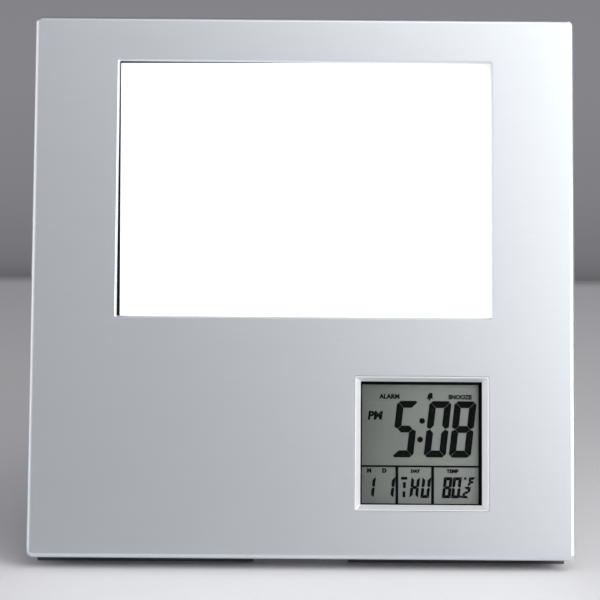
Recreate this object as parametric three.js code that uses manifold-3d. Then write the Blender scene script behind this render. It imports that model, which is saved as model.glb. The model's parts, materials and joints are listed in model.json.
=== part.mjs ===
// A square desk photo frame with a digital clock: an aluminium face with a photo window and a
// liquid-crystal clock, on a black moulded body that leans back on a folding leg.
//
// The body is drawn upright in "face coordinates" and leaned back as one group:
//   x to the right as seen from the front, 0 at the middle
//   y into the depth, 0 on the front face, growing towards the back
//   z up along the face, 0 at the face's bottom edge
// All lengths are millimetres and all angles degrees, unless a name says otherwise.
import * as THREE from "three";
import { mergeVertices } from "three/addons/utils/BufferGeometryUtils.js";
import Module from "manifold-3d";

const wasm = await Module();
wasm.setup();

// ---------------------------------------------------------------- driving dimensions
const FACE = 178; // side of the square face
const DEPTH = 16; // from the face to the back plane
const LEAN = 15; // backward lean of the body
const LEG_OPEN = 28; // angle between the open leg and the back
const FACE_LIFT = 4.2; // height of the face's bottom edge above the table
const GAP = 0.3; // between neighbouring pieces

const SKIN = 1; // aluminium sheet
const SKIN_DEPTH = 2.8; // depth of its folded edge
const SKIN_EDGE = 1.6; // rounding of the face's outer edge
const SKIN_CORNER = 2.2; // corner radius of the face

const WINDOW = { width: 123.9, height: 85.6, bottom: 78.2, bevel: 0.8, corner: 0.5 };
const CLOCK = { x: 38.9, z: 37.5, outer: 43.3, view: 39.6 }; // centre, bezel and visible display

const PLATE = 1.5; // chassis plate and window pane
const PLATE_BACK = SKIN + GAP + PLATE; // their back plane
const HOUSING_FRONT = PLATE_BACK + GAP;
const HOUSING_HALF = FACE / 2 - SKIN - 0.5; // half width of the housing and the chassis
const WALL = 2; // housing walls
const INSIDE = DEPTH - WALL; // inner surface of the back wall
const SOLE = FACE / 2 - HOUSING_HALF; // bottom of the housing

const CARD = { width: 127, height: 88.9, thick: 0.4, x: 3.2, y: 3.25, z: 119, skew: 0.5 };
const TRAY = { half: 67.4, rail: 2, floor: 5.75, plate: 1.2, bottom: 71.6, top: 168 };

const LEG = { width: 26, thick: 4.4, hingeY: 12.6, hingeZ: 121, barrel: 2.9, pin: 1.25 };
const CHANNEL = { half: 13.4, floor: 9.3, top: 126.2, wall: 1.6 };
const HOLE_PLAY = 0.15; // radial play of pins and screws in their holes

const THUMB = { radius: 11, z: 161 }; // notch for pushing the photo up

const BOARD = { width: 47.2, height: 54, y: 8.7, thick: 1.2 };
const BOARD_BACK = BOARD.y + BOARD.thick;
const HOLDER_BACK = BOARD.y - GAP;

const BUTTON = { radius: 3, z: 20, first: 24.4, pitch: 10, proud: 1, travel: 0.7 };
const KNOB = { x: 48.5, z: 44, width: 3, height: 2.6, travel: 3 };
const BUZZER = { x: 30, z: 46, radius: 9, thick: 0.4 };
const SENSOR = { x: 57.3, z: 55, length: 2.6, radius: 1.1 }; // thermometer bead, behind three vents

const CELL = { radius: 5.25, length: 43.5, left: -76.6, z: 29.75 }; // an AAA battery
const BAY = { left: -82.9, right: -30.9, floor: 2.4, half: 5.75, wall: 1.2, base: 0.8 };
const CELL_Y = BAY.floor + GAP + CELL.radius;
const DOOR = { right: -28.6, inner: 8.15, outer: 7.15, thick: 1.8 }; // dovetail half widths

const FOOT = { inner: 15.5, outer: 86.5, front: 11.5, back: 14.8 };

const SCREW_SPOTS = [-79, 79].flatMap((x) => [10, 69, 168].map((z) => [x, z]));
const SMOOTH = 24; // facets of a round piece
const COARSE = 16; // facets of a small round piece

// ---------------------------------------------------------------- solids
// A closed three.js geometry as a manifold-3d solid.
function solidOf(geometry) {
  const plain = geometry.clone();
  plain.deleteAttribute("normal");
  plain.deleteAttribute("uv");
  const merged = mergeVertices(plain, 1e-4);
  return new wasm.Manifold(
    new wasm.Mesh({
      numProp: 3,
      vertProperties: merged.attributes.position.array,
      triVerts: new Uint32Array(merged.index.array),
    }),
  );
}

function geometryOf(solid) {
  const mesh = solid.getMesh();
  const geometry = new THREE.BufferGeometry();
  geometry.setAttribute("position", new THREE.BufferAttribute(mesh.vertProperties, 3));
  geometry.setIndex(new THREE.BufferAttribute(mesh.triVerts, 1));
  geometry.computeVertexNormals();
  return geometry;
}

const join = (...solids) => solids.reduce((all, one) => all.add(one));
const cut = (solid, ...tools) => tools.reduce((rest, tool) => rest.subtract(tool), solid);

// A block between two corners.
function block([x0, x1], [y0, y1], [z0, z1]) {
  const geometry = new THREE.BoxGeometry(x1 - x0, y1 - y0, z1 - z0);
  return solidOf(geometry.translate((x0 + x1) / 2, (y0 + y1) / 2, (z0 + z1) / 2));
}

// A block given by its middle in x and z.
const blockAt = (x, z, width, height, ys) =>
  block([x - width / 2, x + width / 2], ys, [z - height / 2, z + height / 2]);

// A round bar along y, with its ends at y0 and y1.
function barY(x, z, radius, [y0, y1], facets = COARSE) {
  const geometry = new THREE.CylinderGeometry(radius, radius, y1 - y0, facets);
  return solidOf(geometry.translate(x, (y0 + y1) / 2, z));
}

// A round bar along x, with its ends at x0 and x1.
function barX([x0, x1], y, z, radius, facets = COARSE) {
  const geometry = new THREE.CylinderGeometry(radius, radius, x1 - x0, facets);
  return solidOf(geometry.rotateZ(Math.PI / 2).translate((x0 + x1) / 2, y, z));
}

// A rectangle with rounded corners, centred on x and z.
function roundedRectangle(x, z, width, height, radius) {
  const [w, h] = [width / 2, height / 2];
  const shape = new THREE.Shape();
  shape.absarc(x + w - radius, z + h - radius, radius, 0, Math.PI / 2);
  shape.absarc(x - w + radius, z + h - radius, radius, Math.PI / 2, Math.PI);
  shape.absarc(x - w + radius, z - h + radius, radius, Math.PI, 1.5 * Math.PI);
  shape.absarc(x + w - radius, z - h + radius, radius, 1.5 * Math.PI, 2 * Math.PI);
  return shape;
}

// A shape drawn in x and z, thickened from y0 to y1. An edge above 0 rounds both of its rims.
function slab(shape, [y0, y1], edge = 0, steps = 2) {
  const geometry = new THREE.ExtrudeGeometry(shape, {
    depth: y1 - y0 - 2 * edge,
    bevelEnabled: edge > 0,
    bevelThickness: edge,
    bevelSize: edge,
    bevelOffset: -edge,
    bevelSegments: steps,
    curveSegments: 3,
  });
  return solidOf(geometry.rotateX(Math.PI / 2).translate(0, y1 - edge, 0));
}

// A profile drawn as [y, z] points, stretched from x0 to x1.
function prism(points, [x0, x1]) {
  const shape = new THREE.Shape(points.map(([y, z]) => new THREE.Vector2(y, z)));
  const geometry = new THREE.ExtrudeGeometry(shape, { depth: x1 - x0, bevelEnabled: false });
  const turn = new THREE.Matrix4().makeBasis(
    new THREE.Vector3(0, 1, 0),
    new THREE.Vector3(0, 0, 1),
    new THREE.Vector3(1, 0, 0),
  );
  return solidOf(geometry.applyMatrix4(turn).translate(x0, 0, 0));
}

// A square or rectangular frustum along y, from one outline at y0 to another at y1.
function frustum(x, z, [w0, h0], [w1, h1], [y0, y1]) {
  const rim = (w, h, y) => [
    [x - w / 2, y, z - h / 2],
    [x + w / 2, y, z - h / 2],
    [x + w / 2, y, z + h / 2],
    [x - w / 2, y, z + h / 2],
  ];
  const points = [...rim(w0, h0, y0), ...rim(w1, h1, y1)];
  const faces = [0, 1, 2, 0, 2, 3, 4, 6, 5, 4, 7, 6];
  for (let i = 0; i < 4; i++) {
    const j = (i + 1) % 4;
    faces.push(i, i + 4, j + 4, i, j + 4, j);
  }
  const geometry = new THREE.BufferGeometry();
  geometry.setAttribute("position", new THREE.Float32BufferAttribute(points.flat(), 3));
  geometry.setIndex(faces);
  return solidOf(geometry);
}

// ---------------------------------------------------------------- materials
const matter = (hex, roughness, metalness = 0) =>
  new THREE.MeshStandardMaterial({ color: hex, roughness, metalness });
const MATERIALS = {
  aluminium: matter(0xc8ccd2, 0.35, 1),
  silverPlastic: matter(0xd6d9dd, 0.4, 0.3),
  clear: matter(0xf4f8fa, 0.05),
  card: matter(0xffffff, 0.7),
  blackPlastic: matter(0x1c1d1f, 0.5),
  greyPlastic: matter(0x55585c, 0.6),
  whitePlastic: matter(0xe8e8e4, 0.5),
  foam: matter(0x2c2d30, 0.95),
  display: matter(0x8c968c, 0.25),
  rubber: matter(0x202124, 0.85),
  board: matter(0x1d6b3c, 0.5),
  epoxy: matter(0x0c0c0d, 0.35),
  steel: matter(0xb9bbbe, 0.3, 1),
  brass: matter(0xc9a24a, 0.35, 1),
  batteryWrap: matter(0x3b5f8a, 0.35),
  redWire: matter(0xb3261e, 0.5),
  blackWire: matter(0x141414, 0.5),
};

const body = new THREE.Group();

function piece(name, material, solid, group = body) {
  const mesh = new THREE.Mesh(geometryOf(solid), MATERIALS[material]);
  mesh.name = name;
  group.add(mesh);
  return mesh;
}

// ---------------------------------------------------------------- face and window
const windowZ = WINDOW.bottom + WINDOW.height / 2;

function frontCover() {
  const outline = (half, radius) => roundedRectangle(0, FACE / 2, 2 * half, 2 * half, radius);
  const pan = slab(outline(FACE / 2, SKIN_CORNER), [0, 4 * SKIN_DEPTH], SKIN_EDGE, 3);
  const hollow = slab(outline(FACE / 2 - SKIN, SKIN_CORNER - SKIN), [SKIN, 5 * SKIN_DEPTH]);
  const behind = block([-FACE, FACE], [SKIN_DEPTH, 6 * SKIN_DEPTH], [-FACE, 2 * FACE]);
  const { width, height, bevel, corner } = WINDOW;
  const inner = [width - 2 * bevel, height - 2 * bevel];
  const opening = slab(roundedRectangle(0, windowZ, ...inner, corner), [-1, 2 * SKIN]);
  const rim = frustum(0, windowZ, [width + 2, height + 2], inner, [-1, bevel]);
  const clock = blockAt(CLOCK.x, CLOCK.z, CLOCK.outer + 2 * GAP, CLOCK.outer + 2 * GAP, [-1, 2 * SKIN]);
  return cut(pan, hollow, behind, opening, rim, clock);
}

const paneSize = [WINDOW.width + 5, WINDOW.height + 5];
const PANE_Y = [SKIN + GAP, PLATE_BACK];

const windowPane = () => blockAt(0, windowZ, ...paneSize, PANE_Y);

// The plate that carries everything, with a lip that locates the rear housing.
function chassis() {
  const square = (half, radius) => roundedRectangle(0, FACE / 2, 2 * half, 2 * half, radius);
  const plate = slab(square(HOUSING_HALF, 1.2), PANE_Y);
  const lipHalf = HOUSING_HALF - WALL - 2 * GAP;
  const lip = cut(
    slab(square(lipHalf, 2), [PLATE_BACK - 0.5, 5]),
    slab(square(lipHalf - 1.5, 1), [0, DEPTH]),
    block([-TRAY.half, TRAY.half], [PLATE_BACK, DEPTH], [FACE / 2, FACE]),
  );
  const bosses = SCREW_SPOTS.map(([x, z]) => barY(x, z, 3, [PLATE_BACK - 0.5, BOSS_TOP]));
  const reach = BAY.wall + GAP;
  return cut(
    join(plate, lip, ...bosses),
    blockAt(0, windowZ, paneSize[0] + 2 * GAP, paneSize[1] + 2 * GAP, [0, DEPTH]),
    blockAt(CLOCK.x, CLOCK.z, BEZEL_FLANGE + 2 * GAP, BEZEL_FLANGE + 2 * GAP, [0, DEPTH]),
    block(
      [BAY.left - reach, BAY.right + reach],
      [0, DEPTH],
      [CELL.z - BAY.half - reach, CELL.z + BAY.half + reach],
    ),
    ...screwHoles(SCREW_SPOTS, HOUSING_SCREW, PLATE_BACK),
    ...screwHoles(TRAY_SCREWS, SMALL_SCREW),
    ...screwHoles(BOARD_SCREWS, SMALL_SCREW),
  );
}

// ---------------------------------------------------------------- fasteners
const HOUSING_SCREW = { head: 2.6, headThick: 1.6, shank: 1.25, headY: 10.9, tip: 4 };
const SMALL_SCREW = { head: 1.7, headThick: 1, shank: 0.85 };
const BOSS_TOP = 8.7; // of the chassis bosses
const SEAT = 9; // front end of the housing's screw wells
const TRAY_EAR = { x: 73.4, size: 8, back: 5 };
const TRAY_SCREWS = [-1, 1].flatMap((side) => [84, 152].map((z) => [side * TRAY_EAR.x, z]));
const BOARD_SCREWS = [-19, 19].flatMap((dx) => [-25.2, 25.2].map((dz) => [CLOCK.x + dx, CLOCK.z + dz]));
const SHALLOW_TIP = 1.6; // tip of the small screws, just behind the aluminium face

// Clearance holes for the shanks of a set of screws, from a front plane to the back.
const screwHoles = (spots, { shank }, front = 0) =>
  spots.map((spot) => barY(...spot, shank + HOLE_PLAY, [front, DEPTH]));

// A cross-head screw driven in from the back, its head from headY to headY + headThick.
function screw([x, z], { head, headThick, shank }, headY, tip) {
  const top = headY + headThick;
  const dome = solidOf(
    new THREE.LatheGeometry(
      [
        new THREE.Vector2(0, 0),
        new THREE.Vector2(head, 0),
        new THREE.Vector2(head, headThick * 0.45),
        new THREE.Vector2(head * 0.72, headThick),
        new THREE.Vector2(0, headThick),
      ],
      COARSE - 4,
    ).translate(x, headY, z),
  );
  const slot = [top - headThick * 0.55, top + 1];
  return cut(
    join(dome, barY(x, z, shank, [tip, headY + 0.1], 8)),
    blockAt(x, z, head * 1.1, head * 0.26, slot),
    blockAt(x, z, head * 0.26, head * 1.1, slot),
  );
}

// ---------------------------------------------------------------- photo and its tray
// The print lies slightly askew between the rails of its tray.
const photoCard = () =>
  blockAt(0, 0, CARD.width, CARD.height, [CARD.y, CARD.y + CARD.thick])
    .rotate([0, -CARD.skew, 0])
    .translate([CARD.x, 0, CARD.z]);

const photoPad = () => block([-50, 50], [CARD.y + CARD.thick + GAP, TRAY.floor - GAP], [80, 145]);

// The thumb notch, cut from the top edge down through everything behind the photo.
const thumbNotch = (radius) =>
  join(
    barY(0, THUMB.z, radius, [CARD.y + CARD.thick, 2 * DEPTH], SMOOTH),
    block([-radius, radius], [CARD.y + CARD.thick, 2 * DEPTH], [THUMB.z, 2 * FACE]),
  );

function photoTray() {
  const { half, rail, floor, plate, bottom, top } = TRAY;
  const back = floor + plate;
  const outer = block([-half - rail, half + rail], [HOUSING_FRONT, back], [bottom, top]);
  const inner = block([-half, half], [0, floor], [bottom + rail, 2 * FACE]);
  const { size, back: earBack } = TRAY_EAR;
  const ears = TRAY_SCREWS.map(([x, z]) => blockAt(x, z, size, size, [HOUSING_FRONT, earBack]));
  const holes = screwHoles(TRAY_SCREWS, SMALL_SCREW);
  return cut(join(outer, ...ears), inner, thumbNotch(THUMB.radius), ...holes);
}

// ---------------------------------------------------------------- clock module
const BEZEL_FLANGE = CLOCK.outer + 3.1;
const BEZEL_BACK = 2.5;
const LENS = { size: 45, y: BEZEL_BACK + GAP, thick: 1 };
const PANEL = { size: 44.4, y: LENS.y + LENS.thick + GAP, thick: 2 };
const STRIP = { length: 40, width: 2, offset: 20.5 };

function clockBezel() {
  const { x, z, outer, view } = CLOCK;
  const land = 0.25; // flat rim left outside the slope
  const ring = blockAt(x, z, outer, outer, [0, BEZEL_BACK]);
  const flange = blockAt(x, z, BEZEL_FLANGE, BEZEL_FLANGE, [SKIN + GAP, BEZEL_BACK]);
  const mouth = outer - 2 * land;
  const slope = frustum(x, z, [mouth, mouth], [view, view], [0, 1.6]);
  const sight = blockAt(x, z, view, view, [-1, DEPTH]);
  const front = blockAt(x, z, mouth, mouth, [-1, 0.01]);
  return cut(join(ring, flange), join(slope, front), sight);
}

const lens = () => blockAt(CLOCK.x, CLOCK.z, LENS.size, LENS.size, [LENS.y, LENS.y + LENS.thick]);
const panel = () => blockAt(CLOCK.x, CLOCK.z, PANEL.size, PANEL.size, [PANEL.y, PANEL.y + PANEL.thick]);

function panelHolder() {
  const { x, z } = CLOCK;
  const frame = blockAt(x, z, BOARD.width, BOARD.height, [HOUSING_FRONT, HOLDER_BACK]);
  const seat = blockAt(x, z, LENS.size + 2 * GAP, LENS.size + 2 * GAP, [0, DEPTH]);
  return cut(frame, seat, ...screwHoles(BOARD_SCREWS, SMALL_SCREW));
}

const contactStrip = (side) =>
  blockAt(CLOCK.x, CLOCK.z + side * STRIP.offset, STRIP.length, STRIP.width, [
    PANEL.y + PANEL.thick + GAP,
    BOARD.y - GAP,
  ]);

function clockBoard() {
  const plate = blockAt(CLOCK.x, CLOCK.z, BOARD.width, BOARD.height, [BOARD.y, BOARD_BACK]);
  return cut(plate, ...screwHoles(BOARD_SCREWS, SMALL_SCREW));
}

// The black epoxy drop over the clock chip.
function chipDrop() {
  const profile = [
    new THREE.Vector2(0, 0),
    new THREE.Vector2(5, 0),
    new THREE.Vector2(4.2, 0.7),
    new THREE.Vector2(2.4, 1.1),
    new THREE.Vector2(0, 1.2),
  ];
  return solidOf(new THREE.LatheGeometry(profile, SMOOTH).translate(36, BOARD_BACK + GAP, 36));
}

const crystal = () => barX([52, 58], BOARD_BACK + GAP + 1, 33, 1, 12);
const sensor = () =>
  barX(
    [SENSOR.x - SENSOR.length / 2, SENSOR.x + SENSOR.length / 2],
    BOARD_BACK + GAP + SENSOR.radius,
    SENSOR.z,
    SENSOR.radius,
    12,
  );

function pushSwitch(x) {
  const base = blockAt(x, BUTTON.z, 6, 6, [BOARD_BACK + GAP, BOARD_BACK + GAP + 0.7]);
  return join(base, barY(x, BUTTON.z, 1.5, [BOARD_BACK + GAP + 0.6, BOARD_BACK + GAP + 1.1]));
}

const slideSwitch = () =>
  blockAt(KNOB.x + KNOB.travel / 2, KNOB.z, 8, 3.5, [BOARD_BACK + GAP, BOARD_BACK + GAP + 1.3]);

function buzzer() {
  const back = INSIDE - 2 * GAP;
  return barY(BUZZER.x, BUZZER.z, BUZZER.radius, [back - BUZZER.thick, back], SMOOTH);
}

// ---------------------------------------------------------------- buttons
const buttonX = (index) => BUTTON.first + index * BUTTON.pitch;

function button(index) {
  const x = buttonX(index);
  const cap = barY(x, BUTTON.z, BUTTON.radius, [12.9, DEPTH + BUTTON.proud], SMOOTH);
  return join(cap, barY(x, BUTTON.z, BUTTON.radius + 1, [12.3, 13.6], SMOOTH));
}

function alarmKnob() {
  const flange = blockAt(KNOB.x, KNOB.z, 9.8, 5.6, [12.6, 13.6]);
  return join(flange, blockAt(KNOB.x, KNOB.z, KNOB.width, KNOB.height, [11.9, DEPTH - 0.2]));
}

// ---------------------------------------------------------------- battery
function battery() {
  const { left, length, radius, z } = CELL;
  const can = barX([left, left + length], CELL_Y, z, radius, SMOOTH);
  return join(can, barX([left + length - 0.5, left + length + 1], CELL_Y, z, 1.9, COARSE));
}

// The cone-shaped coil of the negative contact, on its plate.
function batterySpring() {
  const { z, left } = CELL;
  const start = BAY.left + GAP;
  const plate = block([start, start + 0.4], [CELL_Y - 4, CELL_Y + 4], [z - 4, z + 4]);
  const turns = 3.5;
  class Coil extends THREE.Curve {
    getPoint(t) {
      const angle = 2 * Math.PI * turns * t;
      const radius = 3.3 - 1 * t;
      const x = start + 0.4 + t * (left - 0.35 - GAP - start - 0.4);
      return new THREE.Vector3(x, CELL_Y + radius * Math.cos(angle), z + radius * Math.sin(angle));
    }
  }
  return join(plate, wire(new Coil(), 0.35, 44, 3));
}

// The positive contact: a sheet with a raised button that meets the cell's nub.
function batteryContact() {
  const back = BAY.right - GAP;
  const sheet = block([back - 0.4, back], [CELL_Y - 4, CELL_Y + 4], [CELL.z - 4, CELL.z + 4]);
  return join(sheet, barX([back - 0.7, back - 0.3], CELL_Y, CELL.z, 1.6));
}

// A round wire along a curve.
function wire(curve, radius, steps, sides) {
  const section = new THREE.Shape();
  section.absarc(0, 0, radius, 0, 2 * Math.PI);
  const geometry = new THREE.ExtrudeGeometry(section, {
    steps,
    curveSegments: sides,
    extrudePath: curve,
    bevelEnabled: false,
  });
  return solidOf(geometry);
}

// A battery lead: from the battery bay, in front of the leg's channel, over the display holder
// and down to the back of the board. The outer lead runs above the inner one and ends beyond it.
function lead(outward) {
  const points = [
    [-29.2, 5, 29.5 + outward],
    [-24, 5, 32 + outward],
    [-14, 5, 45 + outward],
    [2, 5, 60 + outward],
    [14, 5, 65.5 + outward],
    [22, 5.4, 66 + outward],
    [27.5 + outward / 2, 8, 66 + outward],
    [30 + outward, 11.2, 65 + outward / 2],
    [30 + outward, 12, 61.5],
    [30 + outward, 11.4, 58.6],
    [30 + outward, 10.3, 57.4],
  ];
  const curve = new THREE.CatmullRomCurve3(points.map((p) => new THREE.Vector3(...p)));
  return wire(curve, 0.55, 36, 4);
}

// ---------------------------------------------------------------- rear housing
const bayShell = () =>
  block(
    [BAY.left - BAY.wall, BAY.right + BAY.wall],
    [BAY.floor - BAY.base, INSIDE + 0.5],
    [CELL.z - BAY.half - BAY.wall, CELL.z + BAY.half + BAY.wall],
  );

// The shelf that the battery door slides on.
const bayShelf = () =>
  block([-HOUSING_HALF + 1, DOOR.right + 2], [INSIDE - 1, INSIDE - 0.1], [CELL.z - 9.6, CELL.z + 9.6]);

const bayHollow = () =>
  block([BAY.left, BAY.right], [BAY.floor, 2 * DEPTH], [CELL.z - BAY.half, CELL.z + BAY.half]);

// The dovetail of the battery door, grown by a gap where it is used to cut the wall.
function dovetail(left, right, grow) {
  const [inner, outer] = [DOOR.inner + grow, DOOR.outer + grow];
  const [y0, y1] = grow ? [INSIDE - 0.1, DEPTH + 1] : [DEPTH - DOOR.thick, DEPTH];
  const slope = (DOOR.inner - DOOR.outer) / DOOR.thick;
  const at = (y) => outer + (DEPTH - y) * slope;
  const low = Math.min(inner + grow, at(y0));
  return prism(
    [
      [y0, CELL.z - low],
      [y1, CELL.z - at(y1)],
      [y1, CELL.z + at(y1)],
      [y0, CELL.z + low],
    ],
    [left, right],
  );
}

// The outside shape of the rear housing, a margin smaller where something lies inside it.
function hull(margin = 0) {
  const side = 2 * (HOUSING_HALF - margin);
  const rounded = slab(roundedRectangle(0, FACE / 2, side, side, 4), [HOUSING_FRONT - 4, DEPTH], 1.6, 3);
  return cut(rounded, block([-FACE, FACE], [-DEPTH, HOUSING_FRONT], [-FACE, 2 * FACE]));
}

function housingShell() {
  const side = 2 * (HOUSING_HALF - WALL);
  return cut(hull(), slab(roundedRectangle(0, FACE / 2, side, side, 2.5), [-1, INSIDE]));
}

// The walls of the channel that takes the folded leg, with the bosses that hold its pin.
function channelWalls() {
  const { half, floor, top, wall } = CHANNEL;
  const trough = block([-half - wall, half + wall], [floor - WALL, DEPTH - 1], [SOLE + 0.5, top + wall]);
  const bosses = [-1, 1].map((side) => {
    const ends = [side * (half + 0.5), side * (half + 4.6)].sort((a, b) => a - b);
    return barX(ends, LEG.hingeY - 0.6, LEG.hingeZ, 2.9);
  });
  return join(trough, ...bosses);
}

// Slots through the back wall, one above another, each length listed from the bottom up.
const backSlots = (x, z, lengths, pitch) =>
  lengths.map((length, i) => {
    const height = z + pitch * (i - (lengths.length - 1) / 2);
    return blockAt(x, height, length, 1, [INSIDE - 1, 2 * DEPTH]);
  });

function rearHousing() {
  const { half, floor, top } = CHANNEL;
  const { head, headY } = HOUSING_SCREW;
  const wells = SCREW_SPOTS.map(([x, z]) => barY(x, z, 4.2, [SEAT, INSIDE + 0.5]));
  const knobMiddle = KNOB.x + KNOB.travel / 2;
  const knobSlot = [KNOB.width + KNOB.travel + 2 * GAP, KNOB.height + 2 * GAP];
  const cuts = [
    ...SCREW_SPOTS.map((spot) => barY(...spot, head + 0.5, [headY - GAP, 2 * DEPTH], SMOOTH)),
    ...screwHoles(SCREW_SPOTS, HOUSING_SCREW),
    block([-half, half], [floor, 2 * DEPTH], [-FACE, top]),
    barX([-half - 4, half + 5], LEG.hingeY, LEG.hingeZ, LEG.pin + HOLE_PLAY),
    bayHollow(),
    dovetail(-FACE, DOOR.right + GAP, 0.25),
    ...[0, 1, 2, 3].map((i) => barY(buttonX(i), BUTTON.z, BUTTON.radius + GAP, [0, 2 * DEPTH], SMOOTH)),
    blockAt(knobMiddle, KNOB.z, ...knobSlot, [0, 2 * DEPTH]),
    blockAt(knobMiddle, KNOB.z, 11, 6, [DEPTH - 1, 2 * DEPTH]),
    block([-TRAY.half, TRAY.half], [0, 4.1], [FACE / 2, 2 * FACE]),
    thumbNotch(THUMB.radius),
    ...backSlots(BUZZER.x, BUZZER.z, [7, 9, 11, 9, 7], 2.4),
    ...backSlots(SENSOR.x, SENSOR.z, [5, 5, 5], 2.4),
  ];
  return cut(join(housingShell(), channelWalls(), bayShell(), bayShelf(), ...wells), ...cuts);
}

function batteryDoor() {
  const plate = dovetail(-HOUSING_HALF, DOOR.right, 0).intersect(hull(0.2));
  const rib = [DEPTH - 0.5, DEPTH + 0.5];
  return join(plate, ...[0, 1, 2, 3, 4].map((i) => blockAt(-80 + 2.2 * i, CELL.z, 1, 8, rib)));
}

// ---------------------------------------------------------------- leg
// The leg is drawn folded, about its hinge: y towards the back, z up. Then it is turned open.
const radians = THREE.MathUtils.degToRad;
const legSlope = Math.tan(radians(LEG_OPEN - LEAN)); // its foot is level when it stands open
const hingeHeight =
  LEG.hingeZ * Math.cos(radians(LEAN)) - LEG.hingeY * Math.sin(radians(LEAN)) + FACE_LIFT;
const legLength = hingeHeight / Math.cos(radians(LEG_OPEN - LEAN));
const RUBBER = 4; // height of the leg's rubber shoe
const TENON = { thick: 1, length: 2.6, half: 10 };

// The line of a level cut, a distance above the foot's own sole.
const level = (y, above) => -legLength + above - y * legSlope;

function leg() {
  const half = LEG.thick / 2;
  const x = [-LEG.width / 2, LEG.width / 2];
  const end = RUBBER + GAP;
  const plate = prism(
    [
      [-half, level(-half, end)],
      [half, level(half, end)],
      [half, 0],
      [-half, 0],
    ],
    x,
  );
  const tenon = prism(
    [
      [-TENON.thick, level(-TENON.thick, end - TENON.length)],
      [TENON.thick, level(TENON.thick, end - TENON.length)],
      [TENON.thick, level(TENON.thick, end + 1)],
      [-TENON.thick, level(-TENON.thick, end + 1)],
    ],
    [-TENON.half, TENON.half],
  );
  const heel = block(x, [-1, 1.8], [0, 4.5]); // meets the channel's floor when the leg is open
  const barrel = barX(x, 0, 0, LEG.barrel, SMOOTH);
  const bays = [0, 1, 2, 3].map((i) => {
    const top = -6 - 26.5 * i;
    return block([-10.6, 10.6], [-2 * half, 0.4], [top - 23, top]);
  });
  const bore = barX([-LEG.width, LEG.width], 0, 0, LEG.pin + HOLE_PLAY);
  return cut(join(plate, tenon, heel, barrel), ...bays, bore);
}

function legShoe() {
  const half = LEG.thick / 2 + 0.4;
  const outer = prism(
    [
      [-half, level(-half, 0)],
      [half, level(half, 0)],
      [half, level(half, RUBBER)],
      [-half, level(-half, RUBBER)],
    ],
    [-LEG.width / 2, LEG.width / 2],
  );
  const socket = TENON.thick + GAP;
  const bottom = RUBBER - TENON.length;
  const hole = prism(
    [
      [-socket, level(-socket, bottom)],
      [socket, level(socket, bottom)],
      [socket, level(socket, RUBBER + 1)],
      [-socket, level(-socket, RUBBER + 1)],
    ],
    [-TENON.half - GAP, TENON.half + GAP],
  );
  return cut(outer, hole);
}

// A long rubber foot under the back edge of the housing, with its sole level on the table.
function foot(side) {
  const sole = (y) => (y * Math.sin(radians(LEAN)) - FACE_LIFT) / Math.cos(radians(LEAN));
  const top = SOLE - GAP;
  const { front, back } = FOOT;
  const profile = [
    [front, sole(front)],
    [back, sole(back)],
    [back, top],
    [front, top],
  ];
  const ends = [side * FOOT.inner, side * FOOT.outer].sort((a, b) => a - b);
  return prism(profile, ends);
}

// ---------------------------------------------------------------- assembly
piece("front_cover", "aluminium", frontCover());
piece("window_pane", "clear", windowPane());
piece("chassis", "greyPlastic", chassis());
piece("photo_card", "card", photoCard());
piece("photo_pad", "foam", photoPad());
piece("photo_tray", "blackPlastic", photoTray());
TRAY_SCREWS.forEach((spot, i) =>
  piece(`tray_screw_${i + 1}`, "steel", screw(spot, SMALL_SCREW, TRAY_EAR.back + GAP, SHALLOW_TIP)),
);

piece("clock_bezel", "silverPlastic", clockBezel());
piece("display_lens", "clear", lens());
piece("display_panel", "display", panel());
piece("display_holder", "whitePlastic", panelHolder());
piece("contact_strip_top", "rubber", contactStrip(1));
piece("contact_strip_bottom", "rubber", contactStrip(-1));
piece("clock_board", "board", clockBoard());
piece("clock_chip", "epoxy", chipDrop());
piece("quartz_crystal", "steel", crystal());
piece("temperature_sensor", "epoxy", sensor());
piece("buzzer_disc", "brass", buzzer());
piece("alarm_slide_switch", "steel", slideSwitch());
["mode", "set", "up", "down"].forEach((name, i) => {
  piece(`${name}_switch`, "epoxy", pushSwitch(buttonX(i)));
  piece(`${name}_button`, "blackPlastic", button(i));
});
piece("alarm_knob", "silverPlastic", alarmKnob());
BOARD_SCREWS.forEach((spot, i) =>
  piece(`board_screw_${i + 1}`, "steel", screw(spot, SMALL_SCREW, BOARD_BACK + GAP, SHALLOW_TIP)),
);

piece("battery", "batteryWrap", battery());
piece("battery_spring", "steel", batterySpring());
piece("battery_contact", "steel", batteryContact());
piece("battery_lead_black", "blackWire", lead(0));
piece("battery_lead_red", "redWire", lead(2.2));
piece("battery_door", "blackPlastic", batteryDoor());

piece("rear_housing", "blackPlastic", rearHousing());
SCREW_SPOTS.forEach((spot, i) => {
  const { headY, tip } = HOUSING_SCREW;
  piece(`housing_screw_${i + 1}`, "steel", screw(spot, HOUSING_SCREW, headY, tip));
});
piece("foot_left", "rubber", foot(-1));
piece("foot_right", "rubber", foot(1));

const pinReach = CHANNEL.half + 3.7;
piece("hinge_pin", "steel", barX([-pinReach, pinReach], LEG.hingeY, LEG.hingeZ, LEG.pin));

const openLeg = new THREE.Group();
openLeg.position.set(0, LEG.hingeY, LEG.hingeZ);
openLeg.rotation.x = radians(LEG_OPEN);
body.add(openLeg);
piece("leg", "blackPlastic", leg(), openLeg);
piece("leg_shoe", "rubber", legShoe(), openLeg);

// Leaned back, lifted onto its feet, and centred front to back over the origin.
body.rotation.x = -radians(LEAN);
body.position.z = FACE_LIFT;
const frame = new THREE.Group();
frame.add(body);
frame.updateMatrixWorld(true);
const extent = new THREE.Box3().setFromObject(frame, true);
body.position.y = -(extent.min.y + extent.max.y) / 2;

export default frame;
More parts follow.
